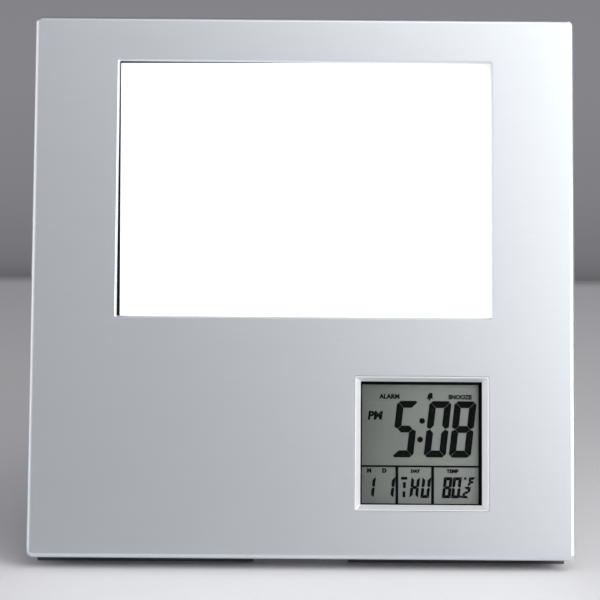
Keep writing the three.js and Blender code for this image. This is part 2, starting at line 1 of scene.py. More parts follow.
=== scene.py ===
"""Looks for the square desk photo frame with a clock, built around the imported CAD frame.

Drawing is done in face coordinates, in millimetres: x to the right, y into the depth from the front
face, z up along the face from its bottom edge. FACE_TO_ROW leans them back and scales them to metres.
"""

import json
import math

import bmesh
import bpy
from mathutils import Matrix, Vector

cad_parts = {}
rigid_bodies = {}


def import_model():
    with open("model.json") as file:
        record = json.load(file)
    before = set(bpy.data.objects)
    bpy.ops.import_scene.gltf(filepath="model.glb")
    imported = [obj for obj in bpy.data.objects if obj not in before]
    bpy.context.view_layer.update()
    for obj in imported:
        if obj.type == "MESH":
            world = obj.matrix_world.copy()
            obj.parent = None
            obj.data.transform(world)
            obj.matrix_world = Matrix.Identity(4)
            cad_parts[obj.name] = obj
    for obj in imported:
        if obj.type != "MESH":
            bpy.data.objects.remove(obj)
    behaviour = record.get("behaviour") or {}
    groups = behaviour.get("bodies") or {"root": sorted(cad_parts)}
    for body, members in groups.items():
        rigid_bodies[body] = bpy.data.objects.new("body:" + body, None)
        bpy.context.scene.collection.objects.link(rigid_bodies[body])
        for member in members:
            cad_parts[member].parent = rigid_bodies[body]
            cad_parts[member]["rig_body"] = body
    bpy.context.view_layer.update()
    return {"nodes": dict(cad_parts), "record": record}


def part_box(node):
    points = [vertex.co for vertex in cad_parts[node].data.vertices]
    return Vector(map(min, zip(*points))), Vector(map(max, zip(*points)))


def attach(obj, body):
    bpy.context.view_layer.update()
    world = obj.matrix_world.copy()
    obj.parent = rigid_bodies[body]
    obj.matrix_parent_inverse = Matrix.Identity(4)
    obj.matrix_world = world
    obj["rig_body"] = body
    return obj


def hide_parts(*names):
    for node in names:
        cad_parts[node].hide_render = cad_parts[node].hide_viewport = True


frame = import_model()
nodes = frame["nodes"]

# ---------------------------------------------------------------- the shared frame
FACE = 178.0  # side of the square face
SHEET = 1.0  # thickness of the aluminium
FLANGE = 2.8  # depth of its turned-back edge
EDGE_ROUND = 1.6  # radius of that edge, seen from the side
CORNER = 2.2  # radius of the face's corners, seen from the front
LEAN = math.radians(15)
BACK = 16.0  # depth of the rear housing's outer surface
BOARD_BACK = 9.9  # depth of the clock board's rear surface
HINGE = Vector((0, 12.6, 121.0))
WINDOW = {"x": 0.3, "z": 120.85, "w": 123.5, "h": 85.55, "bevel": 0.57}
CLOCK = {"x": 38.9, "z": 37.5, "hole": 43.9}

MM = 0.001
leaned = Matrix.Rotation(-LEAN, 4, "X") @ Matrix.Scale(MM, 4)
pin_low, pin_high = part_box("hinge_pin")
FACE_TO_ROW = Matrix.Translation((pin_low + pin_high) / 2 - leaned @ HINGE) @ leaned


# ---------------------------------------------------------------- materials
def material(name, color, roughness, metallic=0.0, **inputs):
    """A Principled material; the inputs are more of its sockets, with _ for each space."""
    made = bpy.data.materials.new(name)
    made.use_nodes = True
    shader = made.node_tree.nodes["Principled BSDF"]
    shader.inputs["Base Color"].default_value = (*color, 1)
    shader.inputs["Roughness"].default_value = roughness
    shader.inputs["Metallic"].default_value = metallic
    for key, value in inputs.items():
        shader.inputs[key.replace("_", " ")].default_value = value
    return made


def noise(made, scale, stretch=(1, 1, 1), detail=3.0, roughness=0.5):
    """A noise texture in the object's own coordinates, with features about 1 / scale metres across."""
    tree = made.node_tree
    coordinates = tree.nodes.new("ShaderNodeTexCoord")
    mapping = tree.nodes.new("ShaderNodeMapping")
    mapping.inputs["Scale"].default_value = stretch
    texture = tree.nodes.new("ShaderNodeTexNoise")
    texture.inputs["Scale"].default_value = scale
    texture.inputs["Detail"].default_value = detail
    texture.inputs["Roughness"].default_value = roughness
    tree.links.new(coordinates.outputs["Object"], mapping.inputs["Vector"])
    tree.links.new(mapping.outputs["Vector"], texture.inputs["Vector"])
    return texture


def bump(made, texture, depth_mm, strength=1.0):
    """Adds the fine relief of a texture to the normals."""
    tree = made.node_tree
    node = tree.nodes.new("ShaderNodeBump")
    node.inputs["Strength"].default_value = strength
    node.inputs["Distance"].default_value = depth_mm * MM
    tree.links.new(texture.outputs[0], node.inputs["Height"])
    shader = tree.nodes["Principled BSDF"]
    tree.links.new(node.outputs["Normal"], shader.inputs["Normal"])


def map_range(tree, start, end, low, high):
    """A node that runs from low to high while its value runs from start to end."""
    node = tree.nodes.new("ShaderNodeMapRange")
    node.inputs["From Min"].default_value = start
    node.inputs["From Max"].default_value = end
    node.inputs["To Min"].default_value = low
    node.inputs["To Max"].default_value = high
    return node


def color_ramp(tree, stops):
    """A node that runs through (position, colour) stops, which are given from low to high."""
    node = tree.nodes.new("ShaderNodeValToRGB")
    elements = node.color_ramp.elements
    elements[0].position = stops[0][0]
    elements[1].position = stops[-1][0]
    for position, _ in stops[1:-1]:
        elements.new(position)
    for element, (_, color) in zip(elements, stops):
        element.color = (*color, 1)
    return node


def along(owner, source, axis, start, end, low=0.0, high=1.0):
    """A value that runs from low to high along one axis of a texture coordinate or of the normal."""
    tree = owner.node_tree
    coordinates = tree.nodes.new("ShaderNodeTexCoord")
    split = tree.nodes.new("ShaderNodeSeparateXYZ")
    node = map_range(tree, start, end, low, high)
    tree.links.new(coordinates.outputs[source], split.inputs["Vector"])
    tree.links.new(split.outputs[axis], node.inputs["Value"])
    return node


def vary(made, texture, socket, low, high):
    """Links a shader socket to a texture, between two numbers or two colours."""
    tree = made.node_tree
    shader = tree.nodes["Principled BSDF"]
    start, end = 0.3, 0.7
    if isinstance(low, (int, float)):
        node = map_range(tree, start, end, low, high)
        tree.links.new(texture.outputs[0], node.inputs["Value"])
        tree.links.new(node.outputs["Result"], shader.inputs[socket])
    else:
        node = color_ramp(tree, ((start, low), (end, high)))
        tree.links.new(texture.outputs[0], node.inputs["Fac"])
        tree.links.new(node.outputs["Color"], shader.inputs[socket])


def brushed_aluminium():
    """Satin metal with fine streaks from side to side."""
    made = material("satin_aluminium", (0.753, 0.788, 0.817), 0.42, 1.0)
    streaks = noise(made, 60, (1, 90, 90), detail=3)
    vary(made, streaks, "Base Color", (0.743, 0.778, 0.807), (0.763, 0.798, 0.827))
    vary(made, streaks, "Roughness", 0.405, 0.435)
    bump(made, streaks, 0.0015, 0.4)
    return made


def moulded(name, color, roughness=0.5, grain_mm=0.35, depth_mm=0.02):
    """Injection-moulded plastic with a fine spark-eroded grain."""
    made = material(name, color, roughness)
    grain = noise(made, 1 / (grain_mm * MM), detail=2)
    patches = noise(made, 40, detail=2)
    vary(made, patches, "Roughness", roughness - 0.05, roughness + 0.06)
    bump(made, grain, depth_mm, 0.6)
    return made


def silver_paint():
    """Plastic with a paint full of fine metal flakes."""
    made = material("silver_paint", (0.80, 0.815, 0.83), 0.36, 0.35)
    flakes = noise(made, 9000, detail=2)
    vary(made, flakes, "Base Color", (0.77, 0.785, 0.80), (0.83, 0.845, 0.86))
    bump(made, flakes, 0.003, 0.4)
    return made


def rubber():
    """Dull rubber for the feet and the shoe of the leg."""
    made = material("rubber", (0.095, 0.095, 0.1), 0.8)
    grain = noise(made, 2500, detail=3)
    vary(made, grain, "Roughness", 0.72, 0.9)
    bump(made, grain, 0.03, 0.7)
    return made


def paper():
    """A blank print whose front face glows: painted light, an emission that keeps it white even in shade;
    its back does not glow.
    """
    made = material("white_card", (0.93, 0.93, 0.93), 0.6, Emission_Color=(1, 1, 1, 1))
    tree = made.node_tree
    fibres = noise(made, 1800, detail=4)
    bump(made, fibres, 0.004, 0.3)
    # Painted light: faces turned to the front glow, so the print stays white where it lies in shade.
    front_glow = along(made, "Normal", "Y", -0.5, -0.9, high=0.8)
    tree.links.new(front_glow.outputs["Result"], tree.nodes["Principled BSDF"].inputs["Emission Strength"])
    return made


def metal(name, color, roughness):
    """Plated or bare metal, a little scuffed."""
    made = material(name, color, roughness, 1.0)
    scuffs = noise(made, 900, detail=4)
    spread = 0.06
    vary(made, scuffs, "Roughness", roughness - spread, roughness + spread)
    return made


def clear(name, alpha):
    """Clear sheet: mostly see-through, with its share of gloss and almost no colour of its own."""
    made = material(name, (0.02, 0.022, 0.022), 0.03, Alpha=alpha)
    ripples = noise(made, 25, detail=1)
    bump(made, ripples, 0.02, 0.15)
    made.surface_render_method = "BLENDED"
    return made


LIQUID_CRYSTAL_SHADES = (
    (0.08, (0.122, 0.136, 0.123)),
    (0.55, (0.209, 0.227, 0.209)),
    (0.95, (0.24, 0.26, 0.241)),
)


def liquid_crystal():
    """The grey-green background of the display, a little lighter towards its right."""
    made = material("liquid_crystal", (0.22, 0.245, 0.235), 0.5, Specular_IOR_Level=0.2)
    tree = made.node_tree
    cloud = noise(made, 60, detail=1)
    across = along(made, "Object", "X", 0.0196, 0.0592)
    wobble = tree.nodes.new("ShaderNodeMath")
    wobble.operation = "MULTIPLY_ADD"
    wobble.inputs[1].default_value = 0.25
    ramp = color_ramp(tree, LIQUID_CRYSTAL_SHADES)
    tree.links.new(cloud.outputs[0], wobble.inputs[0])
    tree.links.new(across.outputs["Result"], wobble.inputs[2])
    tree.links.new(wobble.outputs["Value"], ramp.inputs["Fac"])
    tree.links.new(ramp.outputs["Color"], tree.nodes["Principled BSDF"].inputs["Base Color"])
    return made


def circuit_board():
    """Green solder mask over a faint weave of glass."""
    made = material("solder_mask", (0.015, 0.14, 0.05), 0.35)
    weave = noise(made, 1500, detail=2)
    vary(made, weave, "Base Color", (0.012, 0.11, 0.04), (0.02, 0.17, 0.06))
    bump(made, weave, 0.01, 0.4)
    return made


def foam():
    """Dark foam with open cells."""
    made = material("foam", (0.035, 0.035, 0.038), 0.95)
    cells = noise(made, 1600, detail=4, roughness=0.7)
    vary(made, cells, "Base Color", (0.02, 0.02, 0.022), (0.05, 0.05, 0.054))
    bump(made, cells, 0.15)
    return made


def battery_wrap():
    """A plain printed sleeve: a copper-coloured band at the positive end of a dark sleeve."""
    made = material("battery_wrap", (0.02, 0.03, 0.06), 0.28, 0.6)
    tree = made.node_tree
    shift = along(made, "Object", "X", -0.0766, -0.0321)
    ramp = color_ramp(tree, ((0, (0.018, 0.025, 0.05)), (0.7, (0.55, 0.25, 0.10))))
    ramp.color_ramp.interpolation = "CONSTANT"
    tree.links.new(shift.outputs["Result"], ramp.inputs["Fac"])
    tree.links.new(ramp.outputs["Color"], tree.nodes["Principled BSDF"].inputs["Base Color"])
    return made


LOOKS = {
    "aluminium": brushed_aluminium(),
    "clear_glass": clear("window_glass", 0.06),
    "grey_plastic": moulded("grey_moulding", (0.10, 0.105, 0.11), 0.55),
    "photo_paper": paper(),
    "foam": foam(),
    "black_plastic": moulded("black_moulding", (0.034, 0.034, 0.037), 0.44),
    "silver_plastic": silver_paint(),
    "clear_plastic": clear("clear_acrylic", 0.03),
    "display_glass": liquid_crystal(),
    "white_plastic": moulded("white_moulding", (0.72, 0.72, 0.69), 0.5),
    "rubber": rubber(),
    "circuit_board": circuit_board(),
    "black_epoxy": moulded("black_epoxy", (0.008, 0.008, 0.009), 0.3, 0.8, 0.01),
    "steel": metal("nickel_plate", (0.62, 0.61, 0.59), 0.28),
    "brass": metal("brass", (0.72, 0.52, 0.20), 0.3),
    "battery_wrap": battery_wrap(),
    "red_insulation": moulded("red_insulation", (0.42, 0.02, 0.015), 0.4),
    "black_insulation": moulded("black_insulation", (0.012, 0.012, 0.012), 0.4),
}
INK = material("display_ink", (0.002, 0.003, 0.003), 0.6, Specular_IOR_Level=0.05)
MARK = moulded("raised_mark", (0.22, 0.22, 0.225), 0.5, 0.2, 0.01)
BUTTON_CAP = moulded("button_moulding", (0.085, 0.085, 0.09), 0.36, 0.25, 0.01)

SLOT_OF = {entry["node"]: entry["material_slot"] for entry in frame["record"]["subparts"]}
for node, slot in SLOT_OF.items():
    mesh = nodes[node].data
    mesh.materials.clear()
    mesh.materials.append(LOOKS[slot])


# ---------------------------------------------------------------- mesh helpers
def add_object(name, bm, look, body, stands_for=(), drawn_on_face=True):
    """Turns a bmesh into a piece that rides on a body."""
    mesh = bpy.data.meshes.new(name)
    bm.to_mesh(mesh)
    bm.free()
    if drawn_on_face:
        mesh.transform(FACE_TO_ROW)
    mesh.materials.append(look)
    made = bpy.data.objects.new(name, mesh)
    bpy.context.scene.collection.objects.link(made)
    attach(made, body)
    if stands_for:
        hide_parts(*stands_for)
    return made


def shade(made, angle=35):
    """Smooth shading with hard edges above an angle, and normals weighted towards the large faces."""
    mesh = made.data
    mesh.polygons.foreach_set("use_smooth", [True] * len(mesh.polygons))
    mesh.set_sharp_from_angle(angle=math.radians(angle))
    weighted = made.modifiers.new("weighted", "WEIGHTED_NORMAL")
    weighted.keep_sharp = True


def rounded_rectangle(x, z, width, height, radius, steps=6):
    """Points of a rectangle with rounded corners around x, z: always 4 * (steps + 1) of them."""
    points = []
    for corner in range(4):
        cx = x + (width / 2 - radius) * (1 if corner in (0, 3) else -1)
        cz = z + (height / 2 - radius) * (1 if corner in (0, 1) else -1)
        for i in range(steps + 1):
            angle = math.pi / 2 * (corner + i / steps)
            points.append((cx + radius * math.cos(angle), cz + radius * math.sin(angle)))
    return points


def circle(x, z, radius, sides):
    """Points of a circle around x, z."""
    turn = 2 * math.pi / sides
    return [(x + radius * math.cos(turn * i), z + radius * math.sin(turn * i)) for i in range(sides)]


def ring(bm, points, y):
    """Vertices at a depth y, from points given as (x, z)."""
    return [bm.verts.new((x, y, z)) for x, z in points]


def bridge(bm, rings, closed=False):
    """Quads between rings of equal length, one after another."""
    pairs = list(zip(rings, rings[1:]))
    if closed:
        pairs.append((rings[-1], rings[0]))
    for a, b in pairs:
        for i in range(len(a)):
            j = (i + 1) % len(a)
            bm.faces.new((a[i], a[j], b[j], b[i]))


def fill(bm, *rings):
    """A flat face bounded by the first ring, with the other rings as its holes."""
    edges = []
    for loop in rings:
        for i in range(len(loop)):
            pair = (loop[i], loop[(i + 1) % len(loop)])
            edges.append(bm.edges.get(pair) or bm.edges.new(pair))
    bmesh.ops.triangle_fill(bm, use_beauty=True, edges=edges)


def joined_groups(edges):
    """The edges sorted into groups that touch, in the order they are met."""
    waiting = set(edges)
    groups = []
    for first in edges:
        if first not in waiting:
            continue
        waiting.discard(first)
        group = [first]
        for edge in group:
            for other in (near for vert in edge.verts for near in vert.link_edges):
                if other in waiting:
                    waiting.discard(other)
                    group.append(other)
        groups.append(group)
    return groups


def refine(node, width_mm):
    """A copy of a CAD node with its flat faces made whole and its sharp edges rounded.

    Each group of edges is rounded by itself, so that short edges somewhere else don't narrow it.
    """
    bm = bmesh.new()
    bm.from_mesh(nodes[node].data)
    bmesh.ops.remove_doubles(bm, verts=bm.verts, dist=1e-6)
    bmesh.ops.dissolve_limit(bm, angle_limit=math.radians(1), verts=bm.verts, edges=bm.edges)
    flat = math.radians(30)
    sharp = [edge for edge in bm.edges if len(edge.link_faces) == 2 and edge.calc_face_angle() > flat]
    for group in joined_groups(sharp):
        bmesh.ops.bevel(
            bm,
            geom=[edge for edge in group if edge.is_valid],
            offset=width_mm * MM,
            offset_type="OFFSET",
            segments=2,
            profile=0.5,
            affect="EDGES",
            clamp_overlap=True,
        )
    sliver = 2e-6
    bmesh.ops.remove_doubles(bm, verts=bm.verts, dist=sliver)
    bmesh.ops.dissolve_degenerate(bm, edges=bm.edges, dist=sliver)
    slot = SLOT_OF[node]
    look = BUTTON_CAP if node.endswith("_button") else LOOKS[slot]
    made = add_object(f"{node}_look", bm, look, nodes[node]["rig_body"], (node,), drawn_on_face=False)
    shade(made)


# ---------------------------------------------------------------- face and bezel
def face_plate():
    """The aluminium sheet with its turned-back edge, the window and the hole for the clock."""
    bm = bmesh.new()
    middle = FACE / 2
    steps = 8
    lip = 0.2

    def outline(inset, y):
        side = FACE - 2 * inset
        return ring(bm, rounded_rectangle(0, middle, side, side, max(CORNER - inset, 0.6), steps), y)

    rim = [outline(lip, FLANGE), outline(0, FLANGE - lip)]
    for i in range(steps + 1):
        angle = math.pi / 2 * i / steps
        inset = EDGE_ROUND * (1 - math.cos(angle))
        rim.append(outline(inset, EDGE_ROUND * (1 - math.sin(angle))))
    inner = [outline(SHEET, SHEET), outline(SHEET, FLANGE - lip), outline(SHEET - lip, FLANGE)]
    bridge(bm, inner + rim)

    def window(inset, y, radius):
        size = (WINDOW["w"] - 2 * inset, WINDOW["h"] - 2 * inset)
        return ring(bm, rounded_rectangle(WINDOW["x"], WINDOW["z"], *size, radius, steps), y)

    bevel = WINDOW["bevel"]
    pane_rim = [
        window(-0.12, 0, 0.9),
        window(0, 0.04, 0.8),
        window(0.1, 0.12, 0.7),
        window(bevel - 0.06, bevel - 0.04, 0.3),
        window(bevel, bevel + 0.04, 0.3),
        window(bevel, SHEET, 0.3),
    ]
    bridge(bm, pane_rim)

    def clock_hole(inset, y):
        side = CLOCK["hole"] - 2 * inset
        return ring(bm, rounded_rectangle(CLOCK["x"], CLOCK["z"], side, side, 0.5, steps), y)

    hole_rim = [clock_hole(-0.1, 0), clock_hole(-0.03, 0.03), clock_hole(0, 0.1), clock_hole(0, SHEET)]
    bridge(bm, hole_rim)
    fill(bm, rim[-1], pane_rim[0], hole_rim[0])
    fill(bm, inner[0], pane_rim[-1], hole_rim[-1])
    bmesh.ops.recalc_face_normals(bm, faces=bm.faces)
    made = add_object("face_plate", bm, LOOKS["aluminium"], "frame", ("front_cover",))
    shade(made)


def bezel():
    """The silver frame of the display, with its opening a little taller than it is wide."""
    bm = bmesh.new()
    # Half the width, the depth and the corner radius of each ring.
    profile = [
        (21.85, 0.16, 0.5),
        (21.81, 0.04, 0.5),
        (21.72, 0.0, 0.5),
        (21.48, 0.0, 0.4),
        (21.38, 0.03, 0.4),
        (19.88, 1.55, 0.15),
        (19.8, 1.62, 0.1),
        (19.8, 2.5, 0.1),
        (23.15, 2.5, 0.5),
        (23.15, 1.35, 0.5),
        (21.85, 1.35, 0.5),
    ]
    taller = 0.5
    rings = []
    for half, y, radius in profile:
        more = taller if half < 20 else 0
        outline = rounded_rectangle(CLOCK["x"], CLOCK["z"] + more / 2, 2 * half, 2 * half + more, radius, 5)
        rings.append(ring(bm, outline, y))
    bridge(bm, rings, closed=True)
    bmesh.ops.recalc_face_normals(bm, faces=bm.faces)
    made = add_object("bezel_look", bm, LOOKS["silver_plastic"], "frame", ("clock_bezel",))
    shade(made, 28)


face_plate()
bezel()

# ---------------------------------------------------------------- what the display shows
# Figures and words are placed from the middle of the display.
INK_Y = (4.0, 4.06)


def plate(bm, points, ys=INK_Y):
    """A thin flat piece with the outline given as (x, z)."""
    front = ring(bm, points, ys[0])
    back = ring(bm, points, ys[1])
    bridge(bm, [front, back])
    bm.faces.new(front)
    bm.faces.new(back)


SEGMENTS = {
    "0": "abcdef",
    "1": "bc",
    "2": "abged",
    "5": "afgcd",
    "8": "abcdefg",
    "F": "aefg",
    "H": "bcefg",
    "U": "bcdef",
}


def seven_segments(bm, lit, x, z, width, height, stroke, slant=0.11, gap=0.12, corner=0.15):
    """The lit segments of one digit, whose bottom left corner is at x, z before it is slanted."""
    w, h, t, m = width, height, stroke, height / 2
    c = corner * t
    shapes = {
        "a": [
            (c + gap, h),
            (w - c - gap, h),
            (w - c / 2 - gap, h - c / 2),
            (w - t - gap, h - t),
            (t + gap, h - t),
            (c / 2 + gap, h - c / 2),
        ],
        "g": [
            (t / 2 + gap, m),
            (t + gap, m + t / 2),
            (w - t - gap, m + t / 2),
            (w - t / 2 - gap, m),
            (w - t - gap, m - t / 2),
            (t + gap, m - t / 2),
        ],
        "f": [
            (0, h - c - gap),
            (c / 2, h - c / 2 - gap),
            (t, h - t - gap),
            (t, m + t / 2 + gap),
            (t / 2, m + gap),
            (0, m + t / 4 + gap),
        ],
    }
    shapes["d"] = [(px, h - pz) for px, pz in shapes["a"]]
    shapes["e"] = [(px, h - pz) for px, pz in shapes["f"]]
    shapes["b"] = [(w - px, pz) for px, pz in shapes["f"]]
    shapes["c"] = [(w - px, h - pz) for px, pz in shapes["f"]]
    for segment in lit:
        plate(bm, [(x + px + slant * pz, z + pz) for px, pz in shapes[segment]])


def bar(bm, x0, x1, z0, z1):
    plate(bm, [(x0, z0), (x1, z0), (x1, z1), (x0, z1)])


def dot(bm, x, z, radius, sides=20, ys=INK_Y):
    plate(bm, circle(x, z, radius, sides), ys)


def border_and_painted_shadow(bm):
    """The printed border and dividing lines; the border is wider on the right and at the top, a painted
    shadow of the bezel there.
    """
    outer = 22
    # The border shows wider on the right and at the top: partly print, partly painted shadow of the bezel.
    left, right, bottom, top = -19.25, 18.8, -19.35, 19.4
    outline = [(-outer, -outer), (outer, -outer), (outer, outer), (-outer, outer)]
    opening = [(left, bottom), (right, bottom), (right, top), (left, top)]
    front, back = INK_Y
    sides = ((outline, front), (outline, back), (opening, back), (opening, front))
    bridge(bm, [ring(bm, points, y) for points, y in sides], closed=True)
    line, half, overlap = -7.25, 0.3, 0.1
    bar(bm, left - overlap, right + overlap, line - half, line + half)
    for x in (-7.8, 3.85):
        bar(bm, x - 0.46, x + 0.46, bottom - overlap, line - half + overlap)


def display_figures():
    """The border with its painted shadow, the figures of the time, the date, the day and the temperature,
    and the bell.
    """
    bm = bmesh.new()
    border_and_painted_shadow(bm)
    big = {"width": 7.2, "height": 18.4, "stroke": 2.25, "gap": 0.07, "corner": 0.45}
    for figure, x in (("5", -9.75), ("0", 0.85), ("8", 9.05)):
        seven_segments(bm, SEGMENTS[figure], x, -4.3, **big)
    dot(bm, 0.4, 7.6, 0.94)
    dot(bm, -0.25, 1.5, 0.94)
    small = {"width": 2.8, "height": 6.8, "stroke": 0.98, "gap": 0.04}
    for figure, x in (("1", -18.15), ("1", -11.8), ("H", -3.75), ("U", -0.15), ("8", 6.85), ("0", 9.85)):
        seven_segments(bm, SEGMENTS[figure], x, -17.5, **small)
    bar(bm, -6.4, -4.4, -11.6, -10.7)
    bar(bm, -5.8, -4.9, -14.3, -12.4)
    bar(bm, -5.95, -5.05, -17.3, -15.4)
    dot(bm, 13.1, -17.0, 0.4, 12)
    tiny = {"slant": 0.2, "gap": 0.04}
    seven_segments(bm, SEGMENTS["2"], 13.4, -17.5, 2.2, 3.7, 0.8, **tiny)
    seven_segments(bm, SEGMENTS["F"], 15.2, -13.9, 2.2, 3.2, 0.8, **tiny)
    dot(bm, 14.5, -11.1, 0.42, 12)
    half_bell = [(1.1, -0.8), (0.75, -0.4), (0.7, 0.5), (0.3, 1.1)]
    bell = half_bell + [(-x, z) for x, z in reversed(half_bell)]
    plate(bm, [(3.0 + 1.1 * x + 0.2 * z, 15.7 + z) for x, z in bell])
    dot(bm, 2.75, 14.6, 0.34, 12)
    bmesh.ops.translate(bm, verts=bm.verts, vec=(CLOCK["x"], 0, CLOCK["z"]))
    bmesh.ops.recalc_face_normals(bm, faces=bm.faces)
    add_object("display_figures", bm, INK, "frame")


CAPITAL = 0.69  # height of the font's capitals at a size of 1


def lettering(name, words, x, z, height, shear=0.0, bold=0.0):
    """A word of the display, centred on x, with its baseline at z and its capitals as high as height."""
    curve = bpy.data.curves.new(name, "FONT")
    curve.body = words
    curve.size = height / CAPITAL
    curve.align_x = "CENTER"
    curve.shear = shear
    curve.offset = bold
    curve.extrude = (INK_Y[1] - INK_Y[0]) / 2
    curve.resolution_u = 3
    holder = bpy.data.objects.new(name, curve)
    bpy.context.scene.collection.objects.link(holder)
    bpy.context.view_layer.update()
    shown = holder.evaluated_get(bpy.context.evaluated_depsgraph_get())
    solid = bpy.data.meshes.new_from_object(shown)
    bpy.data.objects.remove(holder)
    bm = bmesh.new()
    bm.from_mesh(solid)
    bpy.data.meshes.remove(solid)
    bmesh.ops.remove_doubles(bm, verts=bm.verts, dist=1e-4)
    bmesh.ops.rotate(bm, verts=bm.verts, matrix=Matrix.Rotation(math.pi / 2, 3, "X"))
    bmesh.ops.translate(bm, verts=bm.verts, vec=(CLOCK["x"] + x, sum(INK_Y) / 2, CLOCK["z"] + z))
    bmesh.ops.recalc_face_normals(bm, faces=bm.faces)
    add_object(name, bm, INK, "frame")


display_figures()
lettering("word_alarm", "ALARM", -10.25, 14.85, 1.4, bold=0.1)
lettering("word_snooze", "SNOOZE", 12.8, 14.8, 1.3, bold=0.1)
lettering("word_pm", "PM", -15.05, 8.05, 2.55, shear=0.12, bold=0.17)
lettering("word_month", "M", -16.85, -9.3, 1.25, bold=0.12)
lettering("word_date", "D", -11.9, -9.3, 1.25, bold=0.12)
lettering("word_day", "DAY", -1.8, -9.25, 1.0, bold=0.09)
lettering("word_temperature", "TEMP", 10.35, -9.3, 1.1, bold=0.09)

# ---------------------------------------------------------------- rounded copies of the CAD parts
EDGE_WIDTHS = {
    "rear_housing": 0.3,
    "leg": 0.4,
    "leg_shoe": 0.5,
    "battery_door": 0.2,
    "foot_left": 0.4,
    "foot_right": 0.4,
    "alarm_knob": 0.25,
    "mode_button": 0.4,
    "set_button": 0.4,
    "up_button": 0.4,
    "down_button": 0.4,
    "photo_tray": 0.2,
    "chassis": 0.15,
    "display_holder": 0.2,
    "clock_board": 0.1,
    "alarm_slide_switch": 0.15,
    "mode_switch": 0.12,
    "set_switch": 0.12,
    "up_switch": 0.12,
    "down_switch": 0.12,
    "battery_contact": 0.08,
    "hinge_pin": 0.15,
    "window_pane": 0.1,
}
for name, width in EDGE_WIDTHS.items():
    refine(name, width)
for kind, count in (("housing", 6), ("tray", 4), ("board", 4)):
    for number in range(count):
        refine(f"{kind}_screw_{number + 1}", 0.08)


def foam_pad():
    """The foam behind the print: a flat pad with soft, slightly sunken edges."""
    half_width, bottom, top = 50, 80, 145
    front, back = 3.95, 5.45
    middle, thick = (front + back) / 2, (back - front) / 2
    bm = bmesh.new()
    rings = []
    steps = 10
    softness = 1.1
    for i in range(steps + 1):
        angle = math.pi * i / steps
        inset = softness * (1 - math.sin(angle) ** 0.6)
        size = (2 * (half_width - inset), top - bottom - 2 * inset)
        outline = rounded_rectangle(0, (bottom + top) / 2, *size, 3 - inset)
        rings.append(ring(bm, outline, middle - thick * math.cos(angle)))
    bridge(bm, rings)
    fill(bm, rings[0])
    fill(bm, rings[-1])
    bmesh.ops.recalc_face_normals(bm, faces=bm.faces)
    made = add_object("foam_pad", bm, LOOKS["foam"], "frame", ("photo_pad",))
    shade(made, 50)


def raised_marks():
    """Plain symbols beside the controls on the back: a list, a ring, two arrows, and on and off."""
    bm = bmesh.new()
    face = (BACK - 0.05, BACK + 0.12)
    first, pitch, row = 24.4, 10, 25.9

    def mark(x, z, points):
        plate(bm, [(x + px, z + pz) for px, pz in points], face)

    def loop(x, z, radius, width, sides=20):
        low, high = face
        hole = radius - width
        outlines = ((radius, low), (radius, high), (hole, high), (hole, low))
        rings = [ring(bm, circle(x, z, distance, sides), y) for distance, y in outlines]
        bridge(bm, rings, closed=True)

    for shift in (-0.7, 0, 0.7):
        mark(first, row + shift, [(-1.1, -0.16), (1.1, -0.16), (1.1, 0.16), (-1.1, 0.16)])
    loop(first + pitch, row, 1.0, 0.34)
    mark(first + 2 * pitch, row, [(-1.05, -0.8), (1.05, -0.8), (0, 0.95)])
    mark(first + 3 * pitch, row, [(1.05, 0.8), (-1.05, 0.8), (0, -0.95)])
    loop(47.3, 48.4, 0.8, 0.28)
    mark(52.7, 48.4, [(-0.16, -0.8), (0.16, -0.8), (0.16, 0.8), (-0.16, 0.8)])
    bmesh.ops.recalc_face_normals(bm, faces=bm.faces)
    add_object("raised_marks", bm, MARK, "frame")


SOLDERED_LEADS = ((30, 57.4), (32.2, 57.4))
SWITCHES_X = (24.4, 34.4, 44.4, 54.4)
SWITCHES_Z = 20


def board_tracks():
    """Copper tracks and contact pads on the back of the clock board."""
    bm = bmesh.new()
    copper = (BOARD_BACK - 0.02, BOARD_BACK + 0.03)
    chip_x, chip_z, chip_reach = 36, 36, 6.4
    display_pitch, chip_pitch = 2.4, 0.62
    top_row, bottom_row = 62.3, 14.5

    def track(points, width=0.3):
        for start, end in zip(points, points[1:]):
            forward = (Vector(end) - Vector(start)).normalized() * width / 2
            side = Vector((-forward.y, forward.x))
            a, b = Vector(start) - forward, Vector(end) + forward
            plate(bm, [a + side, a - side, b - side, b + side], copper)

    def pad(x, z, width, height):
        track([(x - width / 2 + height / 2, z), (x + width / 2 - height / 2, z)], height)

    for i in range(-7, 8):
        pad_x, chip_end = CLOCK["x"] + display_pitch * i, chip_x + chip_pitch * i
        reach = chip_reach - 0.08 * i * i
        pad(pad_x, top_row, 1.5, 1.2)
        track([(pad_x, 62), (pad_x, 54), (chip_end, 45), (chip_end, chip_z + reach)])
        track([(pad_x, bottom_row), (pad_x, 24.5), (chip_end, 28), (chip_end, chip_z - reach)])
        dot(bm, pad_x, bottom_row, 0.55, 12, copper)
    for x in SWITCHES_X:
        for dx in (-3.5, 3.5):
            for dz in (-2.2, 2.2):
                pad(x + dx, SWITCHES_Z + dz, 1.5, 1.1)
    track([(51, 32.4), (44, 32.4), (42, 34)])
    track([(51, 33.6), (44.6, 33.6), (42.4, 35.6)])
    for x, z in SOLDERED_LEADS:
        dot(bm, x, z, 1.25, 20, copper)
    bmesh.ops.recalc_face_normals(bm, faces=bm.faces)
    add_object("board_tracks", bm, LOOKS["brass"], "frame")


